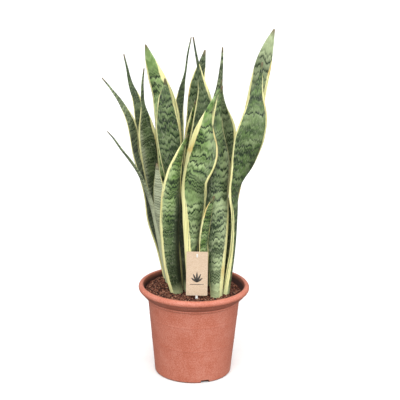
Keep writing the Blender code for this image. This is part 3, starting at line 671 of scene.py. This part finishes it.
def arc(centre, radius, start, end, steps):
    """Points of a circular arc in the (radius, height) plane, angles in degrees."""
    angles = np.radians(np.linspace(start, end, steps))
    return np.stack([centre[0] + radius * np.cos(angles), centre[1] + radius * np.sin(angles)], axis=1)


def pot_outline(settings):
    """Outline of the pot in (radius, height), from the middle of its underside round the rim to its floor.

    Straight wall, a small raised step at the collar, the flare, the round bead, and down inside.
    """
    rim, height = POT_HIGH.x, POT_HIGH.z
    bead = settings.bead_radius
    foot = settings.foot_rounding
    wall_foot, wall_top, collar = settings.wall_radius_foot, settings.wall_radius_top, settings.collar_height
    taper = (wall_top - wall_foot) / (collar - foot)
    rib_heights = np.array([settings.lower_rib, settings.upper_rib])
    up = np.linspace(foot, collar, 120)
    ribs = np.exp(-(((up[:, None] - rib_heights) / (0.9 * MM)) ** 2)).sum(axis=1)
    wall = np.stack([wall_foot + taper * (up - foot) + settings.rib_height * ribs, up], axis=1)
    step = np.array([(0, 0), (0.2, 0.7), (1.5, 1.3), (2.3, 2.2), (2.6, 3.6), (2.5, 5.0), (2.9, 5.7)])
    step = np.array([wall_top, collar]) + smooth_curve(np.arange(7.0), step * MM, np.linspace(0, 6, 22))
    flare = np.array([(2.9, 5.7), (5.2, 7.4), (8.2, 9.9), (11.4, 13.2), (14.0, 16.6)])
    flare = np.array([wall_top, collar]) + smooth_curve(np.arange(5.0), flare * MM, np.linspace(0, 4, 16))
    lip = 2 * MM
    lip_height = height - 2.5 * MM
    lip_middle = (settings.inner_rim_radius + lip, lip_height)
    inner_wall = wall_top - settings.wall_thickness
    inside = np.array([
        (settings.inner_rim_radius, lip_height), (inner_wall + 8 * MM, height - 12 * MM),
        (inner_wall + 3.5 * MM, height - 22 * MM), (inner_wall, collar),
    ])
    inside = smooth_curve(np.array([0, 1, 2, 3.0]), inside, np.linspace(0.1, 3, 24))
    inner_floor = wall_foot - settings.wall_thickness
    pole = 0.5 * MM
    parts = [
        np.linspace((pole, 0), (wall_foot - foot, 0), 12)[:-1],
        arc((wall_foot - foot, foot), foot, -90, 0, 10)[:-1],
        wall[:-1],
        step[:-1],
        flare[:-1],
        arc((rim - bead, height - bead), bead, -60, 90, 28),
        arc(lip_middle, lip, 100, 180, 8),
        inside,
        np.array([(inner_floor, SOIL_LOW.z), (pole, SOIL_LOW.z)]),
    ]
    return np.concatenate(parts)


def turned(outline, segments):
    """Rows of points of a (radius, height) outline turned round Z."""
    angle = np.arange(segments) * 2 * math.pi / segments
    radius, height = outline[:, :1], outline[:, 1:]
    points = np.stack([radius * np.cos(angle), radius * np.sin(angle), height + 0 * angle], axis=-1)
    return points


def cut_slots(piece, settings):
    """Cuts the three drain slots out of the pot's foot with boxes, and keeps the cut mesh."""
    radius = settings.wall_radius_foot
    depth = 14 * MM
    for angle in settings.drain_slot_angles:
        turn = math.radians(angle)
        place = (radius * math.cos(turn), radius * math.sin(turn), 0)
        bpy.ops.mesh.primitive_cube_add(size=1.0, location=place)
        cutter = bpy.context.object
        cutter.rotation_euler.z = turn
        cutter.scale = (depth, settings.drain_slot_width, 2 * settings.drain_slot_height)
        boolean = piece.modifiers.new("slot", "BOOLEAN")
        boolean.operation = "DIFFERENCE"
        boolean.object = cutter
        depsgraph = bpy.context.evaluated_depsgraph_get()
        cut = bpy.data.meshes.new_from_object(piece.evaluated_get(depsgraph))
        piece.modifiers.clear()
        piece.data = cut
        bpy.data.objects.remove(cutter, do_unlink=True)


# ---------------------------------------------------------------- soil


def soil_height(x, y):
    """Height of the soil's surface: fractal lumps, banked up to the left, sinking a little at the wall."""
    radius = np.hypot(x, y) / SOIL_HIGH.x
    bank = -3 * MM * x / SOIL_HIGH.x
    lumps = 1.6 * MM * fractal_noise(x, y, 14 * MM, 21, octaves=4)
    fine = 0.9 * MM * fractal_noise(x, y, 4 * MM, 31, octaves=2)
    return SOIL_HIGH.z - 3.0 * MM + bank + lumps + fine - 2 * MM * smooth_step(0.90, 1.0, radius)


def make_soil_bed(finish, settings):
    """The soil: a disc of lumps on top, and plain turned sides down to the pot's floor."""
    segments, rings = 300, 110
    angle = np.arange(segments) * 2 * math.pi / segments
    edge = SOIL_HIGH.x - 0.4 * MM
    radius = edge * np.linspace(1, 0.004, rings)[:, None]
    x, y = radius * np.cos(angle), radius * np.sin(angle)
    top = np.stack([x, y, soil_height(x, y)], axis=-1)
    inner = settings.soil_radius_foot
    sides = np.array([(inner, SOIL_LOW.z + 0.3 * MM), (edge - 8.0 * MM, SOIL_HIGH.z - 21 * MM)])
    points = np.concatenate([turned(sides, segments), top])
    tone = {"crumb_tone": np.zeros_like(points)}
    faces = closed_faces(len(points), segments)
    return add_piece("soil_bed", points, faces, finish, ["potting_soil"], tone)


def crumb_shape():
    """A crumb's points and faces: a ball of two rings of five points between two poles."""
    angle = np.arange(5) * 2 * math.pi / 5
    low = np.stack([np.cos(angle), np.sin(angle), 0 * angle - 0.45], axis=1)
    high = np.stack([np.cos(angle + 0.6), np.sin(angle + 0.6), 0 * angle + 0.45], axis=1)
    points = np.vstack([[(0, 0, -1)], low, high, [(0, 0, 1)]])
    faces = []
    for k in range(5):
        after = (k + 1) % 5
        faces += [(0, 1 + after, 1 + k), (1 + k, 1 + after, 6 + k)]
        faces += [(1 + after, 6 + after, 6 + k), (6 + k, 6 + after, 11)]
    return points, np.array(faces)


def scatter(name, count, sizes, tones, seed, finish, reach=0.97):
    """Crumbs lying on the soil: each is the same ball, stretched to a random size, turned and sunk in.

    sizes is the (smallest, largest) half length, half width and half height of a crumb; tones is the range of
    its tone.
    """
    random = np.random.RandomState(seed)
    shape, faces = crumb_shape()
    angle = random.uniform(0, 2 * math.pi, count)
    radius = reach * (SOIL_HIGH.x - 2 * MM) * np.sqrt(random.uniform(0, 1, count))
    x, y = radius * np.cos(angle), radius * np.sin(angle)
    size = np.stack([random.uniform(low, high, count) for low, high in sizes], axis=1)
    wobble = 1 + 0.28 * random.uniform(-1, 1, (count, len(shape), 1))
    local = shape[None] * size[:, None] * wobble
    spin, tilt = random.uniform(0, 2 * math.pi, count), random.normal(0, 0.35, count)
    tilted_x = local[..., 0] * np.cos(tilt)[:, None] - local[..., 2] * np.sin(tilt)[:, None]
    tilted_z = local[..., 0] * np.sin(tilt)[:, None] + local[..., 2] * np.cos(tilt)[:, None]
    turned_x = tilted_x * np.cos(spin)[:, None] - local[..., 1] * np.sin(spin)[:, None]
    turned_y = tilted_x * np.sin(spin)[:, None] + local[..., 1] * np.cos(spin)[:, None]
    lift = soil_height(x, y) + 0.35 * size[:, 2]
    points = np.stack([x[:, None] + turned_x, y[:, None] + turned_y, lift[:, None] + tilted_z], axis=-1)
    all_faces = (faces[None] + np.arange(count)[:, None, None] * len(shape)).reshape(-1, 3).tolist()
    tone = np.repeat(random.uniform(*tones, count), len(shape))
    attributes = {"crumb_tone": np.stack([tone, tone, tone], axis=1)}
    return add_piece(name, points, all_faces, finish, (), attributes)


# ---------------------------------------------------------------- label


def make_print(finish, settings):
    """The card's printed mark: a sprig of five pointed leaves over a rule, as thin raised shapes.

    A leaf's outline is a half width of sin(pi t)^0.8 times its breadth along its length.
    """
    t = np.linspace(0, 1, 24)
    x0 = (CARD_LOW.x + CARD_HIGH.x) / 2
    z0 = CARD_LOW.z + settings.mark_height
    ink_thickness, gap = 0.1 * MM, 0.02 * MM
    back = CARD_LOW.y - gap
    front = back - ink_thickness
    points, faces = [], []

    def add_outline(outline):
        count = len(outline)
        start = sum(len(block) for block in points)
        for y in (front, back):
            points.append(np.stack([x0 + outline[:, 0], np.full(count, y), z0 + outline[:, 1]], axis=1))
        faces.append(tuple(start + k for k in range(count)))
        faces.append(tuple(start + count + k for k in reversed(range(count))))
        for k in range(count):
            after = (k + 1) % count
            faces.append((start + after, start + k, start + count + k, start + count + after))

    def add_leaf(foot, angle, length, breadth):
        half = breadth / 2 * np.sin(math.pi * t) ** 0.8
        outline = np.concatenate([np.stack([half, t * length], 1), np.stack([-half, t * length], 1)[-2:0:-1]])
        turn = math.radians(angle)
        spin = np.array([[math.cos(turn), -math.sin(turn)], [math.sin(turn), math.cos(turn)]])
        add_outline(outline @ spin.T + np.array([0, foot]))

    leaf_breadth = 3.4 * MM
    for foot, angle, length in ((0, 0, 21), (0.5, 24, 18), (0.5, -24, 18), (0, 50, 14), (0, -50, 14)):
        add_leaf(foot * MM, angle, length * MM, leaf_breadth)
    rule = np.array([(-13, -4.6), (13, -4.6), (13, -3.6), (-13, -3.6)]) * MM
    add_outline(rule)
    return add_piece("label_print", np.concatenate(points), faces, finish)


# ---------------------------------------------------------------- add-on


class LeafSettings(bpy.types.PropertyGroup):
    """Sizes and colours of the leaves."""

    rings: bpy.props.IntProperty(name="Rings", description="Steps along each blade", default=150, min=8)
    points_across: bpy.props.IntProperty(
        name="Points Across", description="Points across a blade", default=21, min=5)
    tip_width: bpy.props.FloatProperty(
        name="Tip Width", description="Width of a blade at its point",
        default=1.1 * MM, unit="LENGTH", precision=4)
    thickness_base: bpy.props.FloatProperty(
        name="Foot Thickness", description="Thickness in the middle at the foot",
        default=5.5 * MM, unit="LENGTH")
    thickness_tip: bpy.props.FloatProperty(
        name="Tip Thickness", description="Thickness in the middle near the tip",
        default=2.0 * MM, unit="LENGTH")
    margin_thickness: bpy.props.FloatProperty(
        name="Margin Thickness", description="Thickness at the margins", default=1.2 * MM, unit="LENGTH")
    channel_base: bpy.props.FloatProperty(
        name="Foot Channel", description="Half the angle that the foot's section bends round",
        default=math.radians(65), subtype="ANGLE")
    channel_top: bpy.props.FloatProperty(
        name="Top Channel", description="Half the angle that the upper section bends round",
        default=math.radians(20), subtype="ANGLE")
    ripple: bpy.props.FloatProperty(
        name="Ripple", description="How far the margins wave in and out, as a share of the half width",
        default=0.035)
    flutter: bpy.props.FloatProperty(
        name="Flutter", description="How far the margins wave to and fro", default=1.4 * MM, unit="LENGTH")
    band_length_base: bpy.props.FloatProperty(
        name="Foot Band", description="Length of a cross band near the soil, in mm", default=9.0)
    band_length_top: bpy.props.FloatProperty(
        name="Top Band", description="Length of a cross band in the upper blade, in mm", default=14.0)
    pale_green: bpy.props.StringProperty(name="Pale Green", description="sRGB hex", default="B6D08C")
    middle_green: bpy.props.StringProperty(name="Middle Green", description="sRGB hex", default="7EA352")
    deep_green: bpy.props.StringProperty(name="Deep Green", description="sRGB hex", default="172B11")
    # Shade Green is the depth of a dark blade, partly painted shade; Deep Shade is painted shade laid over
    # blades whose dark tone goes past 1.
    shade_green: bpy.props.StringProperty(name="Shade Green", description="sRGB hex", default="414F35")
    deep_shade: bpy.props.StringProperty(name="Deep Shade", description="sRGB hex", default="1E2416")
    margin_straw: bpy.props.StringProperty(name="Margin Straw", description="sRGB hex", default="D8B868")
    grey_bloom: bpy.props.StringProperty(name="Grey Bloom", description="sRGB hex", default="C2C7A8")
    margin_cream: bpy.props.StringProperty(name="Margin Cream", description="sRGB hex", default="F2EEB0")
    margin_shade: bpy.props.StringProperty(name="Margin Shade", description="sRGB hex", default="DCD890")
    foot_green: bpy.props.StringProperty(name="Foot Green", description="sRGB hex", default="C3CF9C")
    dry_tip: bpy.props.StringProperty(name="Dry Tip", description="sRGB hex", default="6E5A41")


class PotSettings(bpy.types.PropertyGroup):
    """Sizes and colours of the pot."""

    bead_radius: bpy.props.FloatProperty(
        name="Bead Radius", description="Radius of the rim's bead", default=6.5 * MM, unit="LENGTH")
    inner_rim_radius: bpy.props.FloatProperty(
        name="Mouth Radius", description="Radius of the mouth inside the rim",
        default=96 * MM, unit="LENGTH")
    wall_radius_foot: bpy.props.FloatProperty(
        name="Foot Radius", description="Wall's outer radius at the foot", default=72.6 * MM, unit="LENGTH")
    wall_radius_top: bpy.props.FloatProperty(
        name="Collar Radius", description="Wall's outer radius under the flare",
        default=86.7 * MM, unit="LENGTH")
    collar_height: bpy.props.FloatProperty(
        name="Collar Height", description="Height where the wall starts to flare",
        default=145 * MM, unit="LENGTH")
    wall_thickness: bpy.props.FloatProperty(
        name="Wall Thickness", description="Thickness of the wall", default=2.2 * MM, unit="LENGTH")
    foot_rounding: bpy.props.FloatProperty(
        name="Foot Rounding", description="Radius of the rounded foot", default=3.5 * MM, unit="LENGTH")
    lower_rib: bpy.props.FloatProperty(
        name="Lower Rib", description="Height of the lower moulding rib", default=67 * MM, unit="LENGTH")
    upper_rib: bpy.props.FloatProperty(
        name="Upper Rib", description="Height of the upper moulding rib", default=115 * MM, unit="LENGTH")
    rib_height: bpy.props.FloatProperty(
        name="Rib Height", description="How far the ribs stand out",
        default=0.35 * MM, unit="LENGTH", precision=4)
    drain_slot_width: bpy.props.FloatProperty(
        name="Slot Width", description="Width of a drain slot", default=16 * MM, unit="LENGTH")
    drain_slot_height: bpy.props.FloatProperty(
        name="Slot Height", description="Height of a drain slot", default=5.8 * MM, unit="LENGTH")
    drain_slot_angles: bpy.props.FloatVectorProperty(
        name="Slot Angles", description="Directions of the drain slots, in degrees",
        default=(-71, 49, 169), size=3)
    colour: bpy.props.StringProperty(name="Colour", description="sRGB hex", default="C4745D")
    deep_colour: bpy.props.StringProperty(name="Deep Colour", description="sRGB hex", default="B7664F")
    dust_colour: bpy.props.StringProperty(name="Dusty Colour", description="sRGB hex", default="CB8673")
    # Painted shade of the inner wall, partly a damp-soil stain, and painted shade under the foot and in the
    # slots.
    stain_and_shade_colour: bpy.props.StringProperty(name="Stain Colour", description="sRGB hex", default="3A1E1A")


class SoilSettings(bpy.types.PropertyGroup):
    """Sizes and colours of the soil."""

    soil_radius_foot: bpy.props.FloatProperty(
        name="Foot Radius", description="Radius of the soil at the pot's floor",
        default=69.5 * MM, unit="LENGTH")
    crumbs: bpy.props.IntProperty(name="Crumbs", description="Number of crumbs on top", default=2200)
    fibres: bpy.props.IntProperty(name="Fibres", description="Number of coir fibres on top", default=700)
    grains: bpy.props.IntProperty(name="Perlite Grains", description="Number of white grains", default=7)
    colour: bpy.props.StringProperty(name="Colour", description="sRGB hex", default="66392A")
    dark_colour: bpy.props.StringProperty(name="Dark Colour", description="sRGB hex", default="24100B")
    fibre_colour: bpy.props.StringProperty(name="Fibre Colour", description="sRGB hex", default="97654D")
    pale_fibre_colour: bpy.props.StringProperty(
        name="Pale Fibre Colour", description="sRGB hex", default="C39A80")


class LabelSettings(bpy.types.PropertyGroup):
    """Sizes of the label's print."""

    mark_height: bpy.props.FloatProperty(
        name="Mark Height", description="Height of the printed sprig above the card's foot",
        default=26 * MM, unit="LENGTH")


class StageSettings(bpy.types.PropertyGroup):
    """The studio: camera and lights."""

    camera_target: bpy.props.FloatVectorProperty(
        name="Camera Target", description="Point that the camera looks at",
        default=(0.009, 0.0, 0.340), subtype="XYZ")
    camera_distance: bpy.props.FloatProperty(
        name="Camera Distance", description="Distance from the target", default=2.80, unit="LENGTH")
    camera_pitch: bpy.props.FloatProperty(
        name="Camera Pitch", description="Angle that the camera looks down",
        default=math.radians(16.76), subtype="ANGLE")
    camera_roll: bpy.props.FloatProperty(
        name="Camera Roll", description="Tilt of the camera to the right",
        default=math.radians(0.90), subtype="ANGLE")
    lens: bpy.props.FloatProperty(name="Lens", description="Focal length in mm", default=135.0)
    sky_above: bpy.props.FloatProperty(name="Sky Above", description="Brightness overhead", default=0.95)
    sky_below: bpy.props.FloatProperty(name="Sky Below", description="Brightness from below", default=0.10)


class SNAKEPLANT_OT_leaves(bpy.types.Operator):
    """Builds every leaf blade over its node"""

    bl_idname = "snakeplant.leaves"
    bl_label = "Leaves"

    def execute(self, context):
        settings = context.scene.snakeplant_leaves
        finish = leaf_material(settings)
        for number, (name, leaf) in enumerate(LEAVES.items()):
            make_leaf(name, leaf, number, finish, settings)
        return {"FINISHED"}


class SNAKEPLANT_OT_pot(bpy.types.Operator):
    """Builds the moulded pot"""

    bl_idname = "snakeplant.pot"
    bl_label = "Pot"

    def execute(self, context):
        settings = context.scene.snakeplant_pot
        points = turned(pot_outline(settings), 200)
        faces = closed_faces(*points.shape[:2])
        piece = add_piece("pot_shell", points, faces, pot_material(settings), ["pot"])
        cut_slots(piece, settings)
        return {"FINISHED"}


class SNAKEPLANT_OT_soil(bpy.types.Operator):
    """Builds the soil bed with its crumbs, fibres and white grains"""

    bl_idname = "snakeplant.soil"
    bl_label = "Soil"

    def execute(self, context):
        settings = context.scene.snakeplant_soil
        peat = soil_material(settings, "damp_peat_and_coir")
        make_soil_bed(peat, settings)
        crumb_sizes = ((1.0 * MM, 3.2 * MM), (0.8 * MM, 2.0 * MM), (0.6 * MM, 1.5 * MM))
        scatter("soil_crumbs", settings.crumbs, crumb_sizes, (-0.30, 0.26), 5, peat)
        fibre_sizes = ((3.0 * MM, 7.5 * MM), (0.25 * MM, 0.6 * MM), (0.25 * MM, 0.5 * MM))
        scatter("coir_fibres", settings.fibres, fibre_sizes, (0.0, 0.42), 6, peat)
        perlite = speckled_material("perlite", ["D8D4CA", "F4F2EC"], 1.5 * MM, 0.9, 0.3 * MM)
        grain_sizes = ((0.7 * MM, 1.5 * MM), (0.7 * MM, 1.3 * MM), (0.7 * MM, 1.2 * MM))
        scatter("perlite_grains", settings.grains, grain_sizes, (0, 0), 9, perlite)
        return {"FINISHED"}


class SNAKEPLANT_OT_label(bpy.types.Operator):
    """Finishes the label card and its stake, and prints the card"""

    bl_idname = "snakeplant.label"
    bl_label = "Label"

    def execute(self, context):
        # Unbleached kraft board: pulp fibres a few mm long show as fine level streaks of lighter and darker
        # brown.
        kraft = speckled_material(
            "kraft_card", ["C9AE91", "D3BBA0", "DCC8B0"], 2.4 * MM, 0.85, 0.1 * MM, stretch=(1, 1, 2.6))
        ink = speckled_material("printing_ink", ["3A3834", "4B4843"], 0.8 * MM, 0.7, 0.02 * MM)
        white = speckled_material("white_styrene", ["E4E4DE", "F3F3EE"], 3 * MM, 0.4, 0.05 * MM)
        finish_node("label_card", kraft)
        finish_node("label_stake", white)
        make_print(ink, context.scene.snakeplant_label)
        return {"FINISHED"}


class SNAKEPLANT_OT_rhizomes(bpy.types.Operator):
    """Finishes the rhizomes inside the soil"""

    bl_idname = "snakeplant.rhizomes"
    bl_label = "Rhizomes"

    def execute(self, context):
        # Rootstock skin: papery tan rings over a paler body.
        bark = speckled_material("rhizome_skin", ["A9834F", "C7A26B", "DCC397"], 4 * MM, 0.7, 0.4 * MM)
        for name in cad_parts:
            if name.startswith("rhizome_"):
                finish_node(name, bark)
        return {"FINISHED"}


class SNAKEPLANT_OT_stage(bpy.types.Operator):
    """Builds the pale floor, the soft lights and the camera"""

    bl_idname = "snakeplant.stage"
    bl_label = "Stage"

    def execute(self, context):
        scene = context.scene
        settings = scene.snakeplant_stage
        scene.view_settings.view_transform = "Standard"
        make_studio_sky(scene, settings)
        bpy.ops.mesh.primitive_plane_add(size=40.0)
        floor = bpy.context.object
        floor.name = "floor"
        # Matt white paper, so even that its faint clouds hardly show.
        paper = speckled_material("white_paper", ["F7F7F6", "FBFBFA"], 40 * MM, 0.9, 0.02 * MM)
        floor.data.materials.append(paper)
        floor.visible_diffuse = False
        floor.visible_glossy = False
        for name, place, spread, strength in STUDIO_LIGHTS:
            light = bpy.data.lights.new(name, "SUN")
            light.angle = math.radians(spread)
            light.energy = strength
            lamp = bpy.data.objects.new(name, light)
            scene.collection.objects.link(lamp)
            aim_at(lamp, np.array(place, float), np.zeros(3), 0.0)
        camera = bpy.data.objects.new("camera", bpy.data.cameras.new("camera"))
        camera.data.lens = settings.lens
        camera.data.sensor_width = 36.0
        camera.data.clip_end = 100.0
        scene.collection.objects.link(camera)
        target = np.array(settings.camera_target)
        pitch = settings.camera_pitch
        back = np.array([0.0, -math.cos(pitch), math.sin(pitch)])
        aim_at(camera, target + back * settings.camera_distance, target, settings.camera_roll)
        scene.camera = camera
        return {"FINISHED"}


def make_studio_sky(scene, settings):
    """The studio's white surroundings: bright overhead, dimmer towards and below the floor."""
    world = bpy.data.worlds.new("studio")
    world.use_nodes = True
    tree = world.node_tree
    direction = add_node(tree, "TexCoord", output="Generated")
    height = add_node(tree, "SeparateXYZ", [direction], "Z")
    strength = add_node(tree, "MapRange", [height, -0.6, 0.9, settings.sky_below, settings.sky_above])
    tree.links.new(strength, tree.nodes["Background"].inputs["Strength"])
    tree.nodes["Background"].inputs["Color"].default_value = (1, 1, 1, 1)
    scene.world = world


def aim_at(thing, place, target, roll):
    """Puts an object at a place, its -Z axis towards the target, its sideways axis raised by the roll."""
    forward = (target - place) / np.linalg.norm(target - place)
    level = np.cross(forward, (0, 0, 1))
    level /= np.linalg.norm(level)
    up = np.cross(level, forward)
    side = level * math.cos(roll) + up * math.sin(roll)
    top = up * math.cos(roll) - level * math.sin(roll)
    matrix = np.eye(4)
    matrix[:3, 0], matrix[:3, 1], matrix[:3, 2], matrix[:3, 3] = side, top, -forward, place
    thing.matrix_world = Matrix(matrix.tolist())


class SNAKEPLANT_PT_panel(bpy.types.Panel):
    """Sidebar panel that lists the pieces"""

    bl_label = "Snake Plant"
    bl_idname = "SNAKEPLANT_PT_panel"
    bl_space_type = "VIEW_3D"
    bl_region_type = "UI"
    bl_category = "Snake Plant"

    def draw(self, context):
        for operator in OPERATORS:
            self.layout.operator(operator.bl_idname)
        for name in SETTINGS:
            group = getattr(context.scene, name)
            for key in group.bl_rna.properties.keys():
                if key not in ("rna_type", "name"):
                    self.layout.prop(group, key)


SETTINGS = {
    "snakeplant_leaves": LeafSettings,
    "snakeplant_pot": PotSettings,
    "snakeplant_soil": SoilSettings,
    "snakeplant_label": LabelSettings,
    "snakeplant_stage": StageSettings,
}
OPERATORS = (
    SNAKEPLANT_OT_leaves,
    SNAKEPLANT_OT_pot,
    SNAKEPLANT_OT_soil,
    SNAKEPLANT_OT_label,
    SNAKEPLANT_OT_rhizomes,
    SNAKEPLANT_OT_stage,
)


def register():
    """Registers the settings, the operators and the panel."""
    for name, group in SETTINGS.items():
        bpy.utils.register_class(group)
        setattr(bpy.types.Scene, name, bpy.props.PointerProperty(type=group))
    for operator in OPERATORS:
        bpy.utils.register_class(operator)
    bpy.utils.register_class(SNAKEPLANT_PT_panel)


def unregister():
    """Removes all that register added."""
    bpy.utils.unregister_class(SNAKEPLANT_PT_panel)
    for operator in reversed(OPERATORS):
        bpy.utils.unregister_class(operator)
    for name, group in reversed(SETTINGS.items()):
        delattr(bpy.types.Scene, name)
        bpy.utils.unregister_class(group)


def main():
    """Builds the plant piece by piece."""
    register()
    for operator in OPERATORS:
        group, action = operator.bl_idname.split(".")
        getattr(getattr(bpy.ops, group), action)()


if __name__ == "__main__":
    main()
